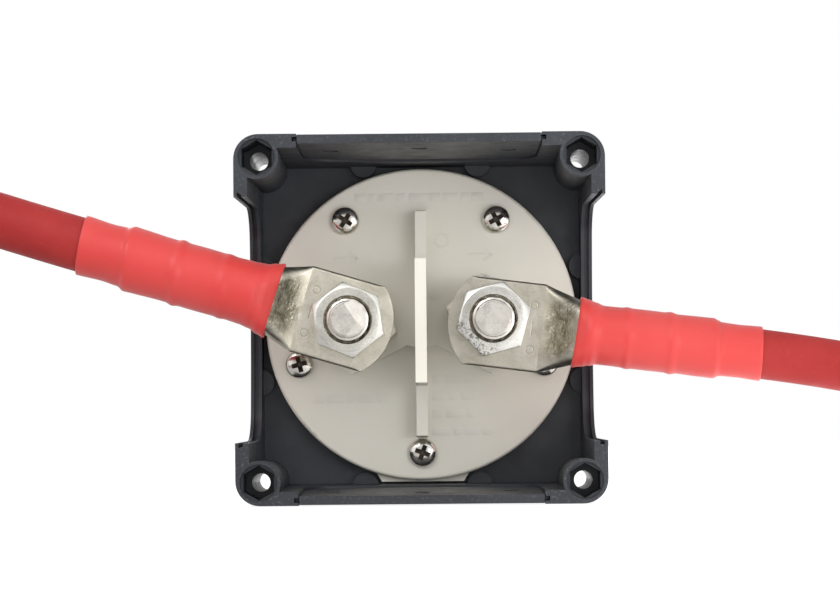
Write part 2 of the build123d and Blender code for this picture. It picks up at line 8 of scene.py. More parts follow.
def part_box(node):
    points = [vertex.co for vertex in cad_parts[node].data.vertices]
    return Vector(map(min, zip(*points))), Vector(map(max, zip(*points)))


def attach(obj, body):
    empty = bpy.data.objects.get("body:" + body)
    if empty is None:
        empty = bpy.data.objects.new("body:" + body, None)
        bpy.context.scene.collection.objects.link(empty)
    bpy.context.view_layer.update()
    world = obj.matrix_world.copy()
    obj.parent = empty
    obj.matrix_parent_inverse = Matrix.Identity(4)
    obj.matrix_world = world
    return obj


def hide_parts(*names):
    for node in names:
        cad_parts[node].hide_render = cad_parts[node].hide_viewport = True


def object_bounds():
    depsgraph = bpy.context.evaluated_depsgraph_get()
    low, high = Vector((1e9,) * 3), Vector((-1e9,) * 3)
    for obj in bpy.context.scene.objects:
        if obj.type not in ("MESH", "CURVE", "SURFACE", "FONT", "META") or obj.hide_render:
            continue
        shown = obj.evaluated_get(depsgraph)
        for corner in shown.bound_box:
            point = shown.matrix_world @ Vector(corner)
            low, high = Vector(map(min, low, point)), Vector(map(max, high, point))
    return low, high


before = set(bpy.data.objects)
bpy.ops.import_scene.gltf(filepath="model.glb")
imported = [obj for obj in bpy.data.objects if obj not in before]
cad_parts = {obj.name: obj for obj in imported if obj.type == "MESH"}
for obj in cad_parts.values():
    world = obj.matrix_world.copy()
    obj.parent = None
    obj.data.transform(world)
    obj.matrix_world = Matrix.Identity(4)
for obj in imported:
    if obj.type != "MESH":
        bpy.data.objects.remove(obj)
cad_low, cad_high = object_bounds()

MM = 0.001

# ---------------------------------------------------------------- places taken from the frame
housing_low, housing_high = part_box("housing")
rear_y = housing_high.y
mid_z = (housing_low.z + housing_high.z) / 2
HOLE_HALF_PITCH = 46.0 * MM


def box_centre(node):
    low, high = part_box(node)
    return (low + high) / 2


# Cable lugs: palm thickness, where the palm's underside lies, height of the barrel's axis over
# it, barrel radius, and distance from the palm's hole to the barrel's mouth.
LUG_PALM = 4.5 * MM
PALM_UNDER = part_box("input_collar")[1].y
BARREL_RISE = 6.75 * MM
BARREL_R = 8.0 * MM
MOUTH = 65.3 * MM

# Each lead: side of its stud, slope of its lug in degrees, how far the lug sits below its stud's
# centre, cable diameter, and the route of the cable in metres between its two barrel mouths.
LEADS = {
    "input": {
        "side": 1,
        "slope": 16.6,
        "drop": 0.35 * MM,
        "cable": 15.6 * MM,
        "route": [
            (0.08338, 0.03375, 0.07082), (0.1060, 0.03375, 0.07756), (0.1310, 0.0339, 0.0856),
            (0.1565, 0.0362, 0.0906), (0.1815, 0.0430, 0.0906), (0.2055, 0.0548, 0.0842),
            (0.2280, 0.0738, 0.0682), (0.2412, 0.0992, 0.0466), (0.2430, 0.1286, 0.0268),
            (0.2346, 0.1598, 0.0148), (0.2191, 0.1875, 0.0109), (0.2006, 0.2109, 0.0109),
        ],
    },
    "output": {
        "side": -1,
        "slope": -7.2,
        "drop": 0.9 * MM,
        "cable": 14.2 * MM,
        "route": [
            (-0.08537, 0.03375, 0.04342), (-0.11117, 0.03375, 0.04016), (-0.1426, 0.0353, 0.0336),
            (-0.1746, 0.0436, 0.0256), (-0.2030, 0.0614, 0.0174), (-0.2244, 0.0892, 0.0109),
            (-0.2334, 0.1230, 0.0086), (-0.2293, 0.1580, 0.0092), (-0.2173, 0.1877, 0.0106),
            (-0.2014, 0.2131, 0.0106),
        ],
    },
}


class Place:
    """A lug's own axes: x from the stud hole along the cable, z up from the palm's underside."""

    def __init__(self, origin, x, z):
        self.origin = Vector(origin)
        self.x = Vector(x).normalized()
        self.z = Vector(z).normalized()
        self.y = self.z.cross(self.x)

    def matrix(self):
        turned = Matrix((self.x, self.y, self.z)).transposed()
        return Matrix.Translation(self.origin) @ turned.to_4x4()


def near_place(name):
    """The lug on a lead's stud."""
    lead = LEADS[name]
    slope = math.radians(lead["slope"])
    centre = box_centre(f"{name}_stud")
    side, drop = lead["side"], lead["drop"]
    out = (side * math.cos(slope), 0, math.sin(slope))
    hole = (centre.x + side * math.sin(slope) * drop, PALM_UNDER, mid_z - math.cos(slope) * drop)
    return Place(hole, out, (0, 1, 0))


def far_place(name):
    """The lug on a lead's other end, in line with the last run of its route."""
    route = [Vector(p) for p in LEADS[name]["route"]]
    back = (route[-2] - route[-1]).normalized()
    up = (Vector((0, 0, 1)) - back * back.z).normalized()
    return Place(route[-1] - back * MOUTH - up * BARREL_RISE, back, up)


# ---------------------------------------------------------------- node helpers
class Nodes:
    """A node tree under construction, with short calls for the nodes it needs."""

    def __init__(self, tree, coordinates):
        self.tree = tree
        self.coords = self.node("ShaderNodeTexCoord").outputs[coordinates]

    def node(self, kind, **properties):
        made = self.tree.nodes.new(kind)
        for key, value in properties.items():
            setattr(made, key, value)
        return made

    def link(self, source, target):
        self.tree.links.new(source, target)

    def stretched(self, scale):
        """Object coordinates stretched by a scale on each axis."""
        mapping = self.node("ShaderNodeMapping")
        mapping.inputs["Scale"].default_value = scale
        self.link(self.coords, mapping.inputs["Vector"])
        return mapping.outputs["Vector"]

    def noise(self, scale, detail=3.0, roughness=0.5, distortion=0.0, vector=None):
        made = self.node("ShaderNodeTexNoise")
        made.inputs["Scale"].default_value = scale
        made.inputs["Detail"].default_value = detail
        made.inputs["Roughness"].default_value = roughness
        made.inputs["Distortion"].default_value = distortion
        self.link(self.coords if vector is None else vector, made.inputs["Vector"])
        return made.outputs["Fac"]

    def cells(self, scale):
        made = self.node("ShaderNodeTexVoronoi")
        made.inputs["Scale"].default_value = scale
        self.link(self.coords, made.inputs["Vector"])
        return made.outputs["Distance"]

    def math(self, operation, a, b=None):
        made = self.node("ShaderNodeMath", operation=operation)
        for socket, value in zip(made.inputs, (a, b)):
            if value is None:
                continue
            if isinstance(value, (int, float)):
                socket.default_value = value
            else:
                self.link(value, socket)
        return made.outputs[0]

    def hypot(self, a, b):
        squares = self.math("ADD", self.math("MULTIPLY", a, a), self.math("MULTIPLY", b, b))
        return self.math("SQRT", squares)

    def ramp(self, fac, *stops):
        """Colour ramp; each stop is (position, colour)."""
        made = self.node("ShaderNodeValToRGB")
        elements = made.color_ramp.elements
        while len(elements) < len(stops):
            elements.new(0.5)
        for element, (position, colour) in zip(elements, stops):
            element.position = position
            element.color = (*colour, 1.0)
        self.link(fac, made.inputs["Fac"])
        return made.outputs["Color"]

    def range(self, fac, low, high, to_low, to_high):
        """Carries one span of values over to another, and stops at its ends."""
        made = self.node("ShaderNodeMapRange")
        limits = {"From Min": low, "From Max": high, "To Min": to_low, "To Max": to_high}
        for key, value in limits.items():
            made.inputs[key].default_value = value
        self.link(fac, made.inputs["Value"])
        return made.outputs["Result"]

    def mix(self, fac, a, b):
        made = self.node("ShaderNodeMix", data_type="RGBA")
        colour_sockets = [s for s in made.inputs if s.type == "RGBA"]
        for socket, value in zip(colour_sockets, (a, b)):
            if isinstance(value, tuple):
                socket.default_value = (*value, 1.0)
            else:
                self.link(value, socket)
        self.link(fac, made.inputs["Factor"])
        return [s for s in made.outputs if s.type == "RGBA"][0]

    def split(self):
        made = self.node("ShaderNodeSeparateXYZ")
        self.link(self.coords, made.inputs["Vector"])
        return made.outputs["X"], made.outputs["Y"], made.outputs["Z"]


class Material(Nodes):
    """A Principled material under construction, in its object's own coordinates."""

    def __init__(self, name, metallic=0.0, roughness=0.5, **sockets):
        self.mat = bpy.data.materials.new(name)
        self.mat.use_nodes = True
        super().__init__(self.mat.node_tree, "Object")
        self.bsdf = self.tree.nodes["Principled BSDF"]
        self.bsdf.inputs["Metallic"].default_value = metallic
        self.bsdf.inputs["Roughness"].default_value = roughness
        for key, value in sockets.items():
            self.bsdf.inputs[key.replace("_", " ")].default_value = value

    def colour(self, source):
        self.link(source, self.bsdf.inputs["Base Color"])

    def rough(self, source):
        self.link(source, self.bsdf.inputs["Roughness"])

    def bump(self, *layers):
        """Chained bump layers; each is (height, strength, distance)."""
        normal = None
        for height, strength, distance in layers:
            made = self.node("ShaderNodeBump")
            made.inputs["Strength"].default_value = strength
            made.inputs["Distance"].default_value = distance
            self.link(height, made.inputs["Height"])
            if normal is not None:
                self.link(normal, made.inputs["Normal"])
            normal = made.outputs["Normal"]
        self.link(normal, self.bsdf.inputs["Normal"])

    def subsurface(self, weight, radius):
        self.bsdf.inputs["Subsurface Weight"].default_value = weight
        self.bsdf.inputs["Subsurface Radius"].default_value = radius
        self.bsdf.inputs["Subsurface Scale"].default_value = 1.0


# ---------------------------------------------------------------- materials
def moulded_plastic(name, dark, light, roughness, wear=None):
    """Injection-moulded plastic: faint flow clouds and fine spark grain.

    With a wear colour, the rear rim is scuffed, and the corner bores are painted pale as painted
    light and made smoother.
    """
    m = Material(name, roughness=roughness, IOR=1.47)
    clouds = m.noise(45.0, 4.0, 0.6)
    colour = m.ramp(clouds, (0.3, dark), (0.7, light))
    matt = m.range(m.noise(160.0, 5.0, 0.65), 0.3, 0.7, roughness - 0.06, roughness + 0.1)
    if wear is not None:
        x, y, z = m.split()
        near_rim = m.range(y, rear_y - 0.9 * MM, rear_y - 0.1 * MM, 0.0, 1.0)
        chips = m.range(m.noise(1300.0, 6.0, 0.7), 0.55, 0.68, 0.0, 0.8)
        colour = m.mix(m.math("MULTIPLY", near_rim, chips), colour, wear)
        # Painted light: the corner bores are painted pale, as if lit, and made smoother.
        dx = m.math("SUBTRACT", m.math("ABSOLUTE", x), HOLE_HALF_PITCH)
        up = m.math("ABSOLUTE", m.math("SUBTRACT", z, mid_z))
        dz = m.math("SUBTRACT", up, HOLE_HALF_PITCH)
        bore = m.range(m.hypot(dx, dz), 2.64 * MM, 2.72 * MM, 1.0, 0.0)
        painted_bore_light = (0.30, 0.28, 0.245)
        colour = m.mix(bore, colour, painted_bore_light)
        matt = m.math("SUBTRACT", matt, m.math("MULTIPLY", bore, 0.15))
    m.colour(colour)
    m.rough(matt)
    m.bump((m.noise(2600.0, 3.0, 0.6), 0.10, 0.00006), (m.noise(70.0, 2.0), 0.06, 0.0004))
    return m.mat


def ivory_cover():
    """Ivory moulded plastic: soft clouds, a few brown specks, a little light let through."""
    m = Material("ivory_cover", roughness=0.5, IOR=1.46)
    clouds = m.noise(26.0, 5.0, 0.55)
    colour = m.ramp(clouds, (0.25, (0.775, 0.746, 0.652)), (0.55, (0.805, 0.782, 0.695)),
                    (0.85, (0.830, 0.810, 0.735)))
    specks = m.range(m.noise(1500.0, 2.0, 0.4), 0.72, 0.80, 0.0, 0.25)
    m.colour(m.mix(specks, colour, (0.56, 0.53, 0.45)))
    m.rough(m.range(m.noise(120.0, 4.0), 0.3, 0.7, 0.42, 0.58))
    m.bump((m.noise(1800.0, 3.0, 0.6), 0.10, 0.00006), (m.noise(40.0, 2.0), 0.05, 0.0006))
    m.subsurface(0.08, (0.002, 0.0016, 0.001))
    return m.mat


def tinned_copper(name, painted_shade):
    """Tin plate in a lug's own axes: frosted palm with a plain mark, dark pebbled neck.

    Painted shade is a factor on the palm's colours: below 1 the palm is painted darker, as painted
    shade.
    """

    def with_painted_shade(*colour):
        return tuple(channel * painted_shade for channel in colour)

    m = Material(name, metallic=1.0, roughness=0.36)
    along, across = m.split()[:2]
    side = m.math("ABSOLUTE", across)
    stains = m.noise(150.0, 6.0, 0.65, 0.6)
    frost = m.noise(2600.0, 3.0, 0.6)
    pebbles = m.cells(1500.0)
    palm = m.ramp(stains, (0.28, with_painted_shade(0.42, 0.390, 0.315)), (0.50, with_painted_shade(0.58, 0.545, 0.455)),
                  (0.75, with_painted_shade(0.67, 0.635, 0.545)))
    palm = m.mix(m.range(frost, 0.56, 0.68, 0.0, 0.55), palm, with_painted_shade(0.33, 0.31, 0.255))
    neck = m.ramp(m.noise(420.0, 6.0, 0.7, 0.4), (0.34, (0.20, 0.185, 0.135)),
                  (0.52, (0.36, 0.34, 0.26)), (0.70, (0.72, 0.70, 0.61)))
    # The pressed neck, with an uneven edge
    wander = m.math("MULTIPLY", m.math("SUBTRACT", stains, 0.5), 7.0 * MM)
    place = m.math("ADD", along, wander)
    pressed = m.math("MULTIPLY", m.range(place, 15.0 * MM, 16.6 * MM, 0.0, 1.0),
                     m.range(place, 20.5 * MM, 25.0 * MM, 1.0, 0.0))
    pressed = m.math("MULTIPLY", pressed, m.range(m.math("ADD", side, wander),
                                                  5.5 * MM, 9.5 * MM, 1.0, 0.0))
    m.rough(m.range(m.noise(420.0, 4.0, 0.6), 0.3, 0.7, 0.28, 0.46))
    # The mark: a fine bar across the palm between two rings
    mark_along, ring_side, ring_r = 11.3 * MM, 6.4 * MM, 1.1 * MM
    bar_half_width, bar_half_length = 0.02 * MM, 2.2 * MM
    dx = m.math("SUBTRACT", along, mark_along)
    dy = m.math("SUBTRACT", side, ring_side)
    ring = m.math("ABSOLUTE", m.math("SUBTRACT", m.hypot(dx, dy), ring_r))
    bar = m.math("MAXIMUM", m.math("SUBTRACT", m.math("ABSOLUTE", dx), bar_half_width),
                 m.math("SUBTRACT", side, bar_half_length))
    mark = m.range(m.math("MINIMUM", ring, bar), 0.08 * MM, 0.26 * MM, 0.0, 1.0)
    palm = m.mix(m.range(mark, 0.0, 1.0, 0.45, 0.0), palm, (0.22, 0.205, 0.16))
    m.colour(m.mix(pressed, palm, neck))
    scratches = m.noise(300.0, 2.0, 0.5, vector=m.stretched((1.0, 6.0, 9.0)))
    m.bump((frost, 0.35, 0.00008), (m.noise(240.0, 3.0), 0.25, 0.0004), (scratches, 0.1, 0.0001),
           (m.math("MULTIPLY", pebbles, pressed), 0.45, 0.0002), (mark, 0.4, 0.0001))
    return m.mat


def turned_zinc(name, lead, tint, stained):
    """Bright zinc on a nut: rings left by the turning tool, fine grain, soot on its low side."""
    m = Material(name, metallic=1.0, roughness=0.26)
    x, y, z = m.split()
    dx = m.math("SUBTRACT", x, box_centre(f"{lead}_nut").x)
    dz = m.math("SUBTRACT", z, mid_z)
    radius = m.hypot(dx, dz)
    angle = m.math("ARCTAN2", dz, dx)
    polar = m.node("ShaderNodeCombineXYZ")
    m.link(m.math("MULTIPLY", radius, 9000.0), polar.inputs["X"])
    m.link(m.math("MULTIPLY", angle, 3.0), polar.inputs["Y"])
    m.link(m.math("MULTIPLY", y, 900.0), polar.inputs["Z"])
    rings = m.noise(1.0, 2.0, 0.5, vector=polar.outputs["Vector"])
    clouds = m.noise(180.0, 5.0, 0.6, 0.4)
    colour = m.ramp(clouds, (0.30, (0.57, 0.550, 0.495)), (0.55, tint), (0.8, (0.76, 0.74, 0.68)))
    grain = m.noise(1700.0, 4.0, 0.7)
    colour = m.mix(m.range(grain, 0.56, 0.66, 0.0, 0.45), colour, (0.36, 0.355, 0.33))
    colour = m.mix(m.range(grain, 0.44, 0.34, 0.0, 0.5), colour, (0.82, 0.81, 0.79))
    low_side = m.math("ADD", m.math("MULTIPLY", dx, 0.64), m.math("MULTIPLY", dz, -0.77))
    near = m.range(low_side, 5.6 * MM, 6.8 * MM, 0.0, stained)
    soot = m.range(m.noise(900.0, 5.0, 0.8), 0.50, 0.56, 0.0, 1.0)
    colour = m.mix(m.range(radius, 9.1 * MM, 9.3 * MM, 0.0, 0.5), colour, (0.84, 0.83, 0.79))
    m.colour(m.mix(m.math("MULTIPLY", near, soot), colour, (0.13, 0.125, 0.115)))
    m.rough(m.range(clouds, 0.3, 0.7, 0.20, 0.30))
    m.bump((rings, 0.16, 0.00005), (m.noise(2200.0, 2.0), 0.10, 0.00005))
    return m.mat


def polished_steel(name, base, roughness):
    """Bright metal with faint clouds and a fine grain."""
    m = Material(name, metallic=1.0, roughness=roughness)
    clouds = m.noise(400.0, 4.0, 0.6)
    darker = tuple(c * 0.78 for c in base)
    m.colour(m.ramp(clouds, (0.3, darker), (0.7, base)))
    m.rough(m.range(m.noise(900.0, 3.0), 0.3, 0.7, roughness - 0.05, roughness + 0.08))
    m.bump((m.noise(1600.0, 3.0), 0.12, 0.00005))
    return m.mat


def shrink_red():
    """Heat-shrink tube: bright satin red with small heat ripples."""
    m = Material("shrink_red", roughness=0.5, IOR=1.5, Sheen_Weight=0.15, Sheen_Roughness=0.5)
    clouds = m.noise(38.0, 4.0, 0.5)
    m.colour(m.ramp(clouds, (0.25, (0.650, 0.038, 0.033)), (0.55, (0.690, 0.048, 0.042)),
                    (0.85, (0.720, 0.064, 0.056))))
    m.rough(m.range(m.noise(300.0, 3.0), 0.3, 0.7, 0.36, 0.5))
    ripples = m.noise(55.0, 3.0, 0.5, 0.3)
    m.bump((m.noise(1500.0, 3.0), 0.06, 0.00006), (ripples, 0.22, 0.0009))
    m.subsurface(0.15, (0.0025, 0.0006, 0.0005))
    return m.mat


def jacket_red():
    """Cable jacket: darker red rubber with a fine grain and a dusty bloom."""
    m = Material("jacket_red", roughness=0.55, IOR=1.42, Specular_IOR_Level=0.3)
    clouds = m.noise(60.0, 4.0, 0.55)
    colour = m.ramp(clouds, (0.3, (0.350, 0.023, 0.022)), (0.7, (0.415, 0.033, 0.030)))
    bloom = m.range(m.noise(700.0, 5.0, 0.7), 0.60, 0.72, 0.0, 0.25)
    m.colour(m.mix(bloom, colour, (0.56, 0.09, 0.08)))
    m.rough(m.range(m.noise(220.0, 4.0), 0.3, 0.7, 0.40, 0.56))
    m.bump((m.noise(1900.0, 3.0), 0.10, 0.00007), (m.noise(90.0, 2.0), 0.08, 0.0005))
    m.subsurface(0.05, (0.002, 0.0004, 0.0004))
    return m.mat


def rubber():
    """Black seal rubber."""
    m = Material("seal_rubber", roughness=0.7)
    m.colour(m.ramp(m.noise(300.0), (0.3, (0.018, 0.018, 0.019)), (0.7, (0.030, 0.030, 0.032))))
    m.bump((m.noise(2500.0, 2.0), 0.15, 0.00005))
    return m.mat


def copper():
    """Bare copper with faint tarnish."""
    m = Material("bare_copper", metallic=1.0, roughness=0.3)
    m.colour(m.ramp(m.noise(260.0, 5.0, 0.6), (0.3, (0.62, 0.27, 0.15)), (0.7, (0.80, 0.42, 0.27))))
    m.bump((m.noise(1500.0, 3.0), 0.12, 0.00005))
    return m.mat


MATERIALS = {
    "surround": moulded_plastic("surround_plastic", (0.020, 0.023, 0.029), (0.034, 0.038, 0.046),
                                0.42, (0.115, 0.120, 0.130)),
    "body": moulded_plastic("body_plastic", (0.016, 0.017, 0.020), (0.026, 0.028, 0.032), 0.45),
    "knob": moulded_plastic("knob_plastic", (0.52, 0.012, 0.012), (0.62, 0.022, 0.020), 0.26),
    "dial": moulded_plastic("dial_plastic", (0.66, 0.66, 0.64), (0.74, 0.74, 0.72), 0.4),
    "cover": ivory_cover(),
    "tin_input": tinned_copper("tinned_copper_input", 1.0),
    # The output lugs are a darker copy of the same tin: painted shade, 0.78 times as bright.
    "tin_output": tinned_copper("tinned_copper_output_painted_shade", 0.78),
    "brass_tin": polished_steel("tinned_brass", (0.76, 0.72, 0.64), 0.3),
    "nut_input": turned_zinc("zinc_nut_input", "input", (0.67, 0.645, 0.575), 0.0),
    "nut_output": turned_zinc("zinc_nut_output", "output", (0.65, 0.635, 0.590), 0.85),
    "screw": polished_steel("screw_steel", (0.70, 0.675, 0.62), 0.15),
    # Dark brown non-metal colour for the faces inside the screws' cross recesses.
    "recess": moulded_plastic("recess_dark_brown", (0.075, 0.055, 0.040), (0.160, 0.125, 0.095), 0.5),
    "steel": polished_steel("spring_steel", (0.55, 0.55, 0.56), 0.3),
    "silver": polished_steel("silver_contact", (0.86, 0.85, 0.82), 0.2),
    "stud_end": polished_steel("stud_end", (0.74, 0.70, 0.635), 0.27),
    "sleeve": shrink_red(),
    "jacket": jacket_red(),
    "rubber": rubber(),
    "copper": copper(),
}

# The look of each CAD node that is shown as it is
CAD_LOOKS = {
    "surround": ("housing", "top_side_panel", "bottom_side_panel", "front_bezel"),
    "body": ("switch_body", "rotor"),
    "cover": ("rear_cover",),
    "rubber": ("cover_gasket", "stud_seals", "shaft_seal"),
    "brass_tin": ("input_collar", "output_collar"),
    "silver": ("fixed_contacts",),
    "copper": ("contact_bar", "conductor_ends"),
    "steel": ("contact_springs", "detent_springs", "detent_balls", "knob_screw"),
    "dial": ("dial_plate",),
    "knob": ("knob", "knob_cap"),
}

for look, nodes in CAD_LOOKS.items():
    for node in nodes:
        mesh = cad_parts[node].data
        mesh.materials.clear()
        mesh.materials.append(MATERIALS[look])


# ---------------------------------------------------------------- mesh helpers
CORNERS = ((1, 1), (-1, 1), (-1, -1), (1, -1))


def add_object(name, data, looks=()):
    made = bpy.data.objects.new(name, data)
    bpy.context.scene.collection.objects.link(made)
    for look in looks:
        data.materials.append(MATERIALS[look])
    return made


def smooth(obj):
    for polygon in obj.data.polygons:
        polygon.use_smooth = True


def from_bmesh(name, bm, looks=()):
    """Object with smooth faces from a bmesh, which it uses up."""
    bmesh.ops.recalc_face_normals(bm, faces=bm.faces)
    mesh = bpy.data.meshes.new(name)
    bm.to_mesh(mesh)
    bm.free()
    made = add_object(name, mesh, looks)
    smooth(made)
    return made


def bridge_rings(bm, rings, closed=False):
    """Quads between neighbouring rings of points, and faces over the two ends."""
    loops = [[bm.verts.new(point) for point in ring] for ring in rings]
    pairs = list(zip(loops, loops[1:]))
    if closed:
        pairs.append((loops[-1], loops[0]))
    for first, second in pairs:
        count = len(first)
        for i in range(count):
            j = (i + 1) % count
            bm.faces.new((first[i], first[j], second[j], second[i]))
    if not closed:
        bm.faces.new(loops[0])
        bm.faces.new(loops[-1])


def sharpen(obj, degrees):
    """Marks edges as sharp where their faces meet at more than an angle."""
    mesh = obj.data
    limit = math.radians(degrees)
    bm = bmesh.new()
    bm.from_mesh(mesh)
    for edge in bm.edges:
        edge.smooth = len(edge.link_faces) != 2 or edge.calc_face_angle(0.0) < limit
    bm.to_mesh(mesh)
    bm.free()


def bevel(obj, width, degrees):
    made = obj.modifiers.new("edge", "BEVEL")
    made.width = width
    made.segments = 3
    made.limit_method = "ANGLE"
    made.angle_limit = math.radians(degrees)
    made.harden_normals = True


def cut(obj, cutter):
    """Takes the cutter's volume out of obj for good."""
    made = obj.modifiers.new("cut", "BOOLEAN")
    made.operation = "DIFFERENCE"
    made.solver = "EXACT"
    made.object = cutter
    bpy.context.view_layer.update()
    graph = bpy.context.evaluated_depsgraph_get()
    mesh = bpy.data.meshes.new_from_object(obj.evaluated_get(graph))
    obj.modifiers.clear()
    obj.data = mesh
    bpy.data.objects.remove(cutter)


def circle_angles(count):
    return [2 * math.pi * i / count for i in range(count)]


# ---------------------------------------------------------------- camera
def make_camera():
    """Long lens behind the switch, a little below its middle, looking slightly up."""
    data = bpy.data.cameras.new("camera")
    data.lens = 143.7
    data.sensor_width = 36.0
    data.clip_start = 0.05
    data.clip_end = 20.0
    distance = 0.944
    pitch, roll, heading = 92.375, 0.51, 180.42
    camera = add_object("camera", data)
    camera.location = (-0.0065, rear_y + distance, 0.0185)
    camera.rotation_euler = (math.radians(pitch), math.radians(roll), math.radians(heading))
    bpy.context.scene.camera = camera


make_camera()


# ---------------------------------------------------------------- leads
def cable(name):
    """The free cable between its two crimped ends, a smooth line through its route."""
    lead = LEADS[name]
    data = bpy.data.curves.new(f"{name}_cable_jacket", "CURVE")
    data.dimensions = "3D"
    data.resolution_u = 24
    data.bevel_depth = lead["cable"] / 2
    data.bevel_resolution = 10
    data.use_fill_caps = True
    spline = data.splines.new("NURBS")
    spline.points.add(len(lead["route"]) - 1)
    for point, place in zip(spline.points, lead["route"]):
        point.co = (*place, 1.0)
    spline.order_u = 3
    spline.use_endpoint_u = True
    return add_object(f"{name}_cable_jacket", data, ["jacket"])


# Sleeve outlines in millimetres: start and end from the stud hole, slants of the lug end and of
# the cable end, then distances from the lug end with the diameter there
SLEEVE_PROFILES = {
    "input": (22.0, 79.3, 0.02, -0.09, [
        (0.0, 22.2), (2.2, 21.0), (4.8, 19.2), (8.0, 18.5), (12.6, 18.3), (14.8, 18.8),
        (16.8, 18.3), (26.6, 18.2), (28.8, 19.1), (30.6, 18.2), (40.5, 18.5), (43.2, 18.7),
        (45.2, 16.9), (49.6, 16.6), (57.3, 17.2),
    ]),
    "output": (24.0, 76.9, 0.035, -0.06, [
        (0.0, 20.4), (2.4, 19.4), (4.4, 18.3), (7.0, 17.0), (13.0, 17.1), (14.6, 17.6),
        (16.4, 17.1), (25.2, 17.3), (27.2, 17.9), (29.2, 17.0), (37.6, 17.0), (39.6, 17.1),
        (41.4, 15.4), (47.0, 15.2), (52.9, 15.5),
    ]),
}

# Lug outline, measured from the hole: the palm bends up into the neck, and the neck ends at the
# barrel. The palm's tip is a shallow arc between two corners.
PALM_HALF = 12.75 * MM
PALM_BEND = 14.0 * MM
PALM_TIP = 12.8 * MM
PALM_CORNER = 7.3 * MM
PALM_EDGE_R = 1.0 * MM
TIP_EDGE_R = 0.15 * MM
TIP_HALF = 0.3 * MM
HOLE_R = 7.2 * MM
NECK_END = 28.0 * MM
BARREL_END = 63.8 * MM
CORNER_STEPS = 9
FLAT_STEPS = 12


def rounded_ring(along, half, under, top, corner):
    """Section of a lug or sleeve in its own axes: a rectangle with rounded corners."""
    middle, height = (under + top) / 2, (top - under) / 2
    corner = min(corner, half, height)
    flat, wall = half - corner, height - corner
    points = []
    for quarter, (sx, sz) in enumerate(CORNERS):
        for i in range(CORNER_STEPS + 1):
            angle = math.pi / 2 * (quarter + i / CORNER_STEPS)
            points.append(Vector((along, sx * flat + corner * math.cos(angle),
                                  middle + sz * wall + corner * math.sin(angle))))
        next_x, next_z = CORNERS[(quarter + 1) % 4]
        last = points[-1]
        step = Vector((0, (next_x - sx) * flat, (next_z - sz) * wall)) / FLAT_STEPS
        points += [last + step * i for i in range(1, FLAT_STEPS)]
    return points


def lug_section(along):
    """Half width, underside, top and corner radius of a lug at a distance from its hole."""
    if along <= PALM_BEND:
        return PALM_HALF, 0.0, LUG_PALM, PALM_EDGE_R
    swell = 0.06
    t = min(1.0, (along - PALM_BEND) / (NECK_END - PALM_BEND))
    half = PALM_HALF + (BARREL_R - PALM_HALF) * t
    under = (BARREL_RISE - BARREL_R) * t * t * (3 - 2 * t)
    climb = t - swell * math.sin(2 * math.pi * t)
    top = LUG_PALM + (BARREL_RISE + BARREL_R - LUG_PALM) * climb
    return half, under, top, PALM_EDGE_R + (BARREL_R - PALM_EDGE_R) * t ** 0.8


def palm_half_width(along):
    """Half width of the palm's end, a shallow arc between two sharp corners."""
    chord = PALM_TIP - PALM_CORNER
    radius = (PALM_HALF ** 2 + chord ** 2) / (2 * chord)
    reach = radius ** 2 - (radius - PALM_TIP - along) ** 2
    return math.sqrt(max(reach, TIP_HALF ** 2))


def lug(name, place, look):
    """Tubular cable lug pressed from a tinned copper tube, with a dent along its neck."""
    tip_steps, palm_steps, neck_steps = 16, 12, 28
    tip, palm, neck = PALM_TIP - PALM_CORNER, PALM_BEND + PALM_CORNER, NECK_END - PALM_BEND
    dent_depth, dent_spread = 0.9 * MM, 5.5 * MM
    stations = [-PALM_TIP + tip * (1 - math.cos(math.pi / 2 * i / tip_steps))
                for i in range(tip_steps + 1)]
    stations += [-PALM_CORNER + palm * i / palm_steps for i in range(1, palm_steps + 1)]
    stations += [PALM_BEND + neck * i / neck_steps for i in range(1, neck_steps + 1)]
    stations += [BARREL_END - 1.0 * MM, BARREL_END]
    rings = []
    for along in stations:
        half, under, top, corner = lug_section(along)
        if along < -PALM_CORNER:
            half, corner = palm_half_width(along), TIP_EDGE_R
        points = rounded_ring(along, half, under, top, corner)
        pressed = (along - PALM_BEND) / neck
        if 0 < pressed < 1:
            dent = dent_depth * math.sin(math.pi * pressed)
            for point in points:
                above = max(0.0, (point.z - under) / (top - under) - 0.5) * 2
                point.z -= dent * above * math.exp(-(point.y / dent_spread) ** 2)
        rings.append(points)
    bm = bmesh.new()
    bridge_rings(bm, rings)
    bmesh.ops.remove_doubles(bm, verts=bm.verts, dist=1e-7)
    obj = from_bmesh(name, bm, [look])
    cutter = bmesh.new()
    bridge_rings(cutter, [
        [Vector((HOLE_R * math.cos(a), HOLE_R * math.sin(a), rise * LUG_PALM))
         for a in circle_angles(64)]
        for rise in (-0.5, 1.5)
    ])
    cut(obj, from_bmesh(f"{name}_cutter", cutter))
    smooth(obj)
    sharpen(obj, 17)
    bevel(obj, 0.2 * MM, 50)
    obj.matrix_world = place.matrix()
    return obj


def profile_radius(profile, offset):
    """Half the diameter at a distance from the sleeve's lug end, eased between the steps."""
    for (a, da), (b, db) in zip(profile, profile[1:]):
        if offset <= b:
            t = max(0.0, (offset - a) / (b - a))
            t = t * t * (3 - 2 * t)
            return (da + (db - da) * t) * MM / 2
    return profile[-1][1] * MM / 2


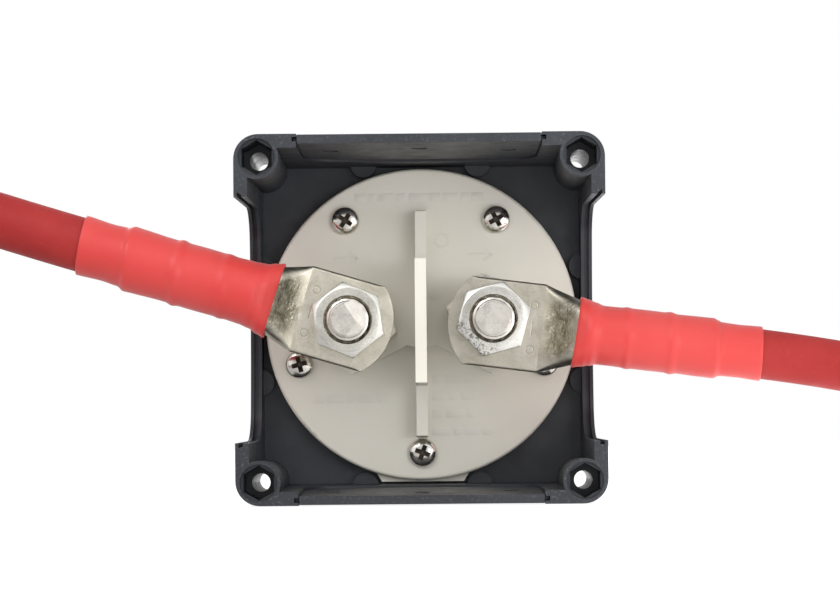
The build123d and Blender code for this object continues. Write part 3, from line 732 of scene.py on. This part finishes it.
def sleeve(name, place, lead_name, seed):
    """Heat-shrink sleeve: a thin tube drawn over the lug's neck, its barrel and the cable."""
    start, end, slant, end_slant, profile = SLEEVE_PROFILES[lead_name]
    length = end - start
    steps = 110

    def outer(offset, shrink=0.0):
        """Ring at millimetres from the lug end; its folds lie a little askew on the tube.

        The window is the share of the folds here. They stop short of both ends, where the two
        fades bring in the slants.
        """
        half, under, top, corner = lug_section((start + offset) * MM)
        window = min(1.0, max(0.0, (offset - 6) / 8)) * min(1.0, (length - offset) / 10)
        fade = max(0.0, 1 - offset / 14)
        end_fade = max(0.0, 1 - (length - offset) / 9)
        points = rounded_ring((start + offset) * MM, half, under, top, corner)
        axis = Vector((0, 0, (under + top) / 2))
        for point in points:
            around = math.atan2(point.z - axis.z, point.y)
            askew = window * (0.7 * math.cos(around) + 0.35 * math.sin(2 * around + seed))
            gap = profile_radius(profile, offset + askew) - half - shrink
            gap += 0.07 * MM * math.sin(2 * around + offset / 3.1 + seed) * window
            gap += 0.10 * MM * math.sin(3 * around + offset / 4 + seed) * fade
            outward = Vector((0, math.cos(around), math.sin(around)))
            point += outward * gap
            point.x += (slant * fade + end_slant * end_fade) * point.y
        return points

    def inner(along, clearance):
        """Ring inside the tube, at millimetres from the stud hole, clear of what it covers."""
        half, under, top, corner = lug_section(along * MM)
        gap = clearance * MM
        return rounded_ring(along * MM, half + gap, under - gap, top + gap, corner + gap)

    rings = [outer(length * i / steps) for i in range(steps + 1)]
    rings.append([p + Vector((0.12 * MM, 0, 0)) for p in outer(length, 0.25 * MM)])
    cable_gap = (LEADS[lead_name]["cable"] / 2 - BARREL_R) / MM + 0.06
    rings.append([p + Vector((end_slant * p.y, 0, 0)) for p in inner(end + 0.04, cable_gap)])
    rings.append(inner(MOUTH / MM + 0.5, cable_gap))
    rings += [inner(along, 0.1) for along in (64.0, 46.0, 30.0, 27.0, 25.2)]
    rings.append([p - Vector((0.10 * MM, 0, 0)) for p in outer(0.0, 0.45 * MM)])
    rings.append([p - Vector((0.14 * MM, 0, 0)) for p in outer(0.0, 0.22 * MM)])
    bm = bmesh.new()
    bridge_rings(bm, rings, closed=True)
    bmesh.ops.remove_doubles(bm, verts=bm.verts, dist=1e-7)
    obj = from_bmesh(name, bm, ["sleeve"])
    obj.matrix_world = place.matrix()
    return obj


def build_lead(name, seed):
    """Cable, lugs and sleeves of a lead; the seed sets the waviness of its sleeves."""
    near, far = near_place(name), far_place(name)
    pieces = []
    for place, prefix in ((near, name), (far, f"{name}_far")):
        tube = sleeve(f"{prefix}_heat_shrink", place, name, seed)
        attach(tube, "surround")
        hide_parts(f"{prefix}_sleeve")
        terminal = lug(f"{prefix}_cable_lug", place, f"tin_{name}")
        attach(terminal, "surround")
        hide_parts(f"{prefix}_lug")
        pieces += [tube, terminal]
        seed += 1.7
    line = cable(name)
    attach(line, "surround")
    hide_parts(f"{name}_cable")


build_lead("input", 0.4)
build_lead("output", 2.3)


# ---------------------------------------------------------------- nuts and studs
def hex_radius(angle, turn, across_flats):
    """Distance from a hexagon's centre to its outline at an angle."""
    sector = (angle - turn) % (math.pi / 3)
    return across_flats / 2 / math.cos(sector - math.pi / 6)


def nut(name, turn, material):
    """Hexagonal nut: flat ring face, coned corners, countersunk bore, small edge radii."""
    centre = box_centre(f"{name}_nut")
    low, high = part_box(f"{name}_nut")
    across_flats = 19.0 * MM
    flat_r = 9.15 * MM
    bore_r = 6.02 * MM
    sink_r = 6.95 * MM
    sink_depth = 1.1 * MM
    edge = 0.12 * MM
    angles = circle_angles(144)
    cone = math.tan(math.radians(30))
    top, bottom = high.y, low.y

    def round_ring(radius, y):
        return [Vector((centre.x + radius * math.cos(a), y, mid_z + radius * math.sin(a)))
                for a in angles]

    def hex_ring(inset, fall, face, way):
        """Ring round the hexagon, which runs down the cone from a face."""
        points = []
        for a in angles:
            r = hex_radius(a, turn, across_flats) - inset
            y = face + way * (r - flat_r + fall) * cone
            points.append(Vector((centre.x + r * math.cos(a), y, mid_z + r * math.sin(a))))
        return points

    rings = [
        round_ring(bore_r, bottom),
        round_ring(bore_r, top - sink_depth),
        round_ring(sink_r - 0.1 * MM, top - edge),
        round_ring(sink_r, top),
        round_ring(flat_r - edge, top),
        round_ring(flat_r, top - 0.03 * MM),
        hex_ring(0.08 * MM, 0.04 * MM, top, -1),
        hex_ring(0.0, edge, top, -1),
        hex_ring(0.0, edge, bottom, 1),
        hex_ring(0.08 * MM, 0.04 * MM, bottom, 1),
        round_ring(flat_r, bottom),
    ]
    bm = bmesh.new()
    bridge_rings(bm, rings, closed=True)
    obj = from_bmesh(f"{name}_hex_nut", bm, [material])
    sharpen(obj, 24)
    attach(obj, "surround")
    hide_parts(f"{name}_nut")


def stud(name, facets):
    """Threaded stud with a turned chamfer and flat facets on its end: heading, reach, tilt."""
    centre = box_centre(f"{name}_stud")
    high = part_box(f"{name}_stud")[1]
    pitch = 1.75 * MM
    outer_r = 5.95 * MM
    head_r = 8.3 * MM
    head_height = 4.0 * MM
    tip_r = 5.35 * MM
    thread_depth = 0.9 * MM
    thread_start = high.y - 17 * MM
    thread_end = high.y - 1.3 * MM
    thread_length = thread_end - thread_start
    pad_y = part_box("fixed_contacts")[1].y
    angles = circle_angles(96)
    steps_a_turn = 12
    steps = int(round(thread_length / (pitch / steps_a_turn)))

    def point(radius, angle, y):
        return Vector((centre.x + radius * math.cos(angle), y, mid_z + radius * math.sin(angle)))

    def ring(radius, y):
        return [point(radius, a, y) for a in angles]

    def thread_ring(y):
        points = []
        for a in angles:
            phase = (y / pitch - a / (2 * math.pi)) % 1.0
            rise = min(1.0, max(0.0, 2.3 * abs(2 * phase - 1) - 0.65))
            points.append(point(outer_r - thread_depth * (1 - rise), a, y))
        return points

    rings = [ring(head_r, pad_y), ring(head_r, pad_y + head_height - 0.1 * MM),
             ring(outer_r, pad_y + head_height), ring(outer_r, thread_start - 0.5 * MM)]
    rings += [thread_ring(thread_start + thread_length * i / steps) for i in range(steps + 1)]
    chamfer = ((0.0, 1.2), (0.0, 0.75), (0.4, 0.30), (0.6, 0.22), (0.8, 0.02))
    rings += [ring(tip_r - inset * MM, high.y - depth * MM) for inset, depth in chamfer]
    bm = bmesh.new()
    bridge_rings(bm, rings)
    bmesh.ops.recalc_face_normals(bm, faces=bm.faces)
    for heading, reach, tilt in facets:
        away = Vector((math.cos(heading), 0, math.sin(heading)))
        normal = Vector((0, math.cos(tilt), 0)) + away * math.sin(tilt)
        chord = Vector((centre.x, high.y - 0.02 * MM, mid_z)) + away * reach
        found = bmesh.ops.bisect_plane(bm, geom=bm.verts[:] + bm.edges[:] + bm.faces[:],
                                       plane_co=chord, plane_no=normal, clear_outer=True)
        rim = [e for e in found["geom_cut"] if isinstance(e, bmesh.types.BMEdge)]
        bmesh.ops.edgeloop_fill(bm, edges=rim)
    obj = from_bmesh(f"{name}_threaded_stud", bm, ["stud_end"])
    sharpen(obj, 30)
    facet_area = 4 * MM * MM
    for polygon in obj.data.polygons:
        if polygon.area > facet_area:
            polygon.use_smooth = False
    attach(obj, "surround")
    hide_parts(f"{name}_stud")


nut("input", math.radians(22.5), "nut_input")
nut("output", math.radians(45.8), "nut_output")
stud("input", [(math.radians(146), 1.7 * MM, math.radians(19)),
               (math.radians(221), 2.6 * MM, math.radians(4))])
stud("output", [(math.radians(0), 2.2 * MM, math.radians(9))])


# ---------------------------------------------------------------- cover screws
DOME_POWER = 0.75
# Cross recess of a cover screw: height over the head, then half length and half width of an arm
RECESS = ((0.5 * MM, 2.5 * MM, 0.74 * MM), (-1.1 * MM, 2.05 * MM, 0.60 * MM),
          (-2.5 * MM, 0.8 * MM, 0.34 * MM))


def dome_share(share):
    """Height of a screw's dome, as a share of its rise, at a share of its radius."""
    return math.sqrt(max(0.0, 1 - min(1.0, share) ** (2 / DOME_POWER)))


def pan_screw(index, turn):
    """Pan-head screw with a tapered cross recess."""
    angle = math.radians(-90 + 72 * index)
    pitch_r = 38.0 * MM
    x, z = pitch_r * math.cos(angle), mid_z + pitch_r * math.sin(angle)
    low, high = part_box("cover_screws")
    head_h = 2.6 * MM
    head_r = 4.15 * MM
    shank_r = 1.9 * MM
    recess_reach = 2.9 * MM
    face_y = high.y - head_h
    shoulder_y = face_y + 0.75 * MM
    dome_h = head_h - 0.75 * MM
    dome_steps = 12
    angles = circle_angles(64)

    def ring(radius, y):
        return [Vector((x + radius * math.cos(a), y, z + radius * math.sin(a))) for a in angles]

    shank = [ring(shank_r, low.y + 1.0 * MM), ring(shank_r, face_y)]
    head = [ring(head_r * 0.9, face_y + 0.02 * MM), ring(head_r, face_y + 0.25 * MM),
            ring(head_r, shoulder_y)]
    for i in range(1, dome_steps + 1):
        t = i / dome_steps * math.pi / 2
        head.append(ring(head_r * math.cos(t) ** DOME_POWER + 0.02 * MM,
                         shoulder_y + dome_h * math.sin(t)))
    bm = bmesh.new()
    bridge_rings(bm, shank + head)
    obj = from_bmesh(f"cover_screw_{index + 1}", bm, ["screw"])
    for arm in range(2):
        cutter = bmesh.new()
        heading = turn + arm * math.pi / 2
        along = Vector((math.cos(heading), 0, math.sin(heading)))
        across = Vector((-math.sin(heading), 0, math.cos(heading)))
        rings = []
        for rise, length, width in RECESS:
            centre = Vector((x, high.y + rise, z))
            rings.append([centre + along * (sx * length) + across * (sz * width)
                          for sx, sz in CORNERS])
        bridge_rings(cutter, rings)
        cut(obj, from_bmesh("recess_cutter", cutter))
    obj.data.materials.append(MATERIALS["recess"])
    for polygon in obj.data.polygons:
        reach = math.hypot(polygon.center.x - x, polygon.center.z - z)
        dome_y = shoulder_y + dome_h * dome_share(reach / head_r)
        inside = face_y < polygon.center.y < dome_y - 0.07 * MM
        polygon.material_index = int(reach < recess_reach and inside)
    smooth(obj)
    sharpen(obj, 32)
    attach(obj, "surround")
    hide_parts("cover_screws")


for number, heading in enumerate((20, 75, 33, 62, 8)):
    pan_screw(number, math.radians(heading))


# ---------------------------------------------------------------- raised marks on the cover
def raised_bar(bm, x, z, length, height, turn=0.0):
    """One low bar on the cover with sloping sides, its middle at x and z in millimetres."""
    face_y = rear_y - 47.0 * MM
    rings = []
    for inset, rise in ((-0.10, -0.1), (0.0, 0.03), (0.16, 0.09)):
        a, b = (length / 2 - inset) * MM, (height / 2 - inset) * MM
        ring = []
        for sx, sz in CORNERS:
            u, v = sx * a, sz * b
            ring.append(Vector((
                x * MM + u * math.cos(turn) - v * math.sin(turn), face_y + rise * MM,
                mid_z + z * MM + u * math.sin(turn) + v * math.cos(turn),
            )))
        rings.append(ring)
    bridge_rings(bm, rings)


def raised_ring(bm, x, z, radius, width):
    """Circle of short bars."""
    count = 28
    for a in circle_angles(count):
        chord = 2 * math.tan(math.pi / count) * (radius + width / 2)
        raised_bar(bm, x + radius * math.cos(a), z + radius * math.sin(a), width, chord, a)


def cover_marks():
    """Plain raised bars, arrows and a ring, in place of any lettering."""
    # Rows of bars: where the row starts, its height, and the lengths of its bars
    row_height, gap = 2.3, 0.9
    rows = (
        (19.5, 37.6, (3.4, 2.0, 4.6, 2.6, 5.2, 3.0, 4.4, 2.2, 3.6)),
        (32.0, -22.0, (3.0, 5.4, 2.2, 4.6, 3.2)),
        (-3.0, -16.4, (3.0, 4.6, 2.4)),
        (-3.0, -21.4, (4.2, 2.6, 5.0)),
        (-3.0, -26.6, (3.2, 5.2, 2.6)),
        (-3.0, -31.8, (5.4, 2.4, 4.2, 3.0)),
    )
    bm = bmesh.new()
    for start, z, widths in rows:
        x = start
        for width in widths:
            raised_bar(bm, x - width / 2, z, width, row_height)
            x -= width + gap
    # Arrows: a shaft and the two short bars of its tip
    shaft, line = 7.0, 0.8
    barb, barb_middle = 3.4, 1.3
    for x, z, way in ((22.4, 19.6, 1), (-17.4, 20.4, -1)):
        raised_bar(bm, x, z, shaft, line)
        for turn in (40, -40):
            tip = math.radians(turn)
            raised_bar(bm, x - barb + barb_middle * math.cos(tip),
                       z + barb_middle * math.sin(tip) * way, barb, line, tip * way)
    raised_ring(bm, -6.2, 24.6, 1.9, 0.6)
    obj = from_bmesh("cover_marks", bm, ["cover"])
    sharpen(obj, 30)
    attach(obj, "surround")


cover_marks()


# ---------------------------------------------------------------- light and floor
def white_world():
    """White to the camera. To the object, grey on the knob's side and bright round the camera."""
    world = bpy.data.worlds.new("studio")
    bpy.context.scene.world = world
    world.use_nodes = True
    nodes = Nodes(world.node_tree, "Generated")
    front_to_back = nodes.range(nodes.split()[1], -1.0, 1.0, 0.0, 1.0)
    greys = ((0.0, 0.45), (0.5, 0.72), (0.66, 0.98), (0.78, 1.24), (0.92, 1.26), (1.0, 0.68))
    room = nodes.ramp(front_to_back, *[(place, (g, g, g * 1.01)) for place, g in greys])
    seen = nodes.node("ShaderNodeLightPath").outputs["Is Camera Ray"]
    background = world.node_tree.nodes["Background"]
    nodes.link(nodes.mix(seen, room, (1.0, 1.0, 1.0)), background.inputs["Color"])


def area_light(name, place, size, power, colour):
    """Rectangular light that faces the middle of the switch."""
    data = bpy.data.lights.new(name, "AREA")
    data.shape = "RECTANGLE"
    data.size, data.size_y = size
    data.energy = power
    data.color = colour
    light = add_object(name, data)
    light.location = place
    towards = Vector((0, 0, mid_z)) - Vector(place)
    light.rotation_euler = towards.to_track_quat("-Z", "Y").to_euler()


def pale_floor():
    """Floor that looks white to the camera, and lights the output lead's side more."""
    bm = bmesh.new()
    bmesh.ops.create_grid(bm, x_segments=4, y_segments=4, size=6.0)
    mesh = bpy.data.meshes.new("floor")
    bm.to_mesh(mesh)
    bm.free()
    m = Material("pale_floor", roughness=0.8)
    m.colour(m.ramp(m.noise(3.0, 3.0), (0.3, (0.30, 0.30, 0.30)), (0.7, (0.32, 0.32, 0.32))))
    glow = m.range(m.split()[0], -0.18, 0.06, 1.60, 0.32)
    seen = m.node("ShaderNodeLightPath").outputs["Is Camera Ray"]
    m.link(m.math("MAXIMUM", glow, m.math("MULTIPLY", seen, 0.86)),
           m.bsdf.inputs["Emission Strength"])
    m.bsdf.inputs["Emission Color"].default_value = (1, 1, 1, 1)
    m.bump((m.noise(40.0), 0.02, 0.0005))
    mesh.materials.append(m.mat)
    floor = add_object("floor", mesh)
    floor.location = (0, 0, cad_low.z - 0.2 * MM)


white_world()
pale_floor()
area_light("key", (0.48, 0.80, 0.72), (0.60, 0.50), 2.4, (1.0, 0.99, 0.97))
area_light("fill", (-0.60, 1.00, 0.13), (0.55, 0.24), 1.6, (0.98, 0.99, 1.0))
area_light("front_side", (0.6, -1.2, 0.7), (0.9, 0.7), 5.0, (1.0, 1.0, 1.0))
bpy.context.scene.view_settings.view_transform = "Standard"
bpy.context.scene.view_settings.look = "None"
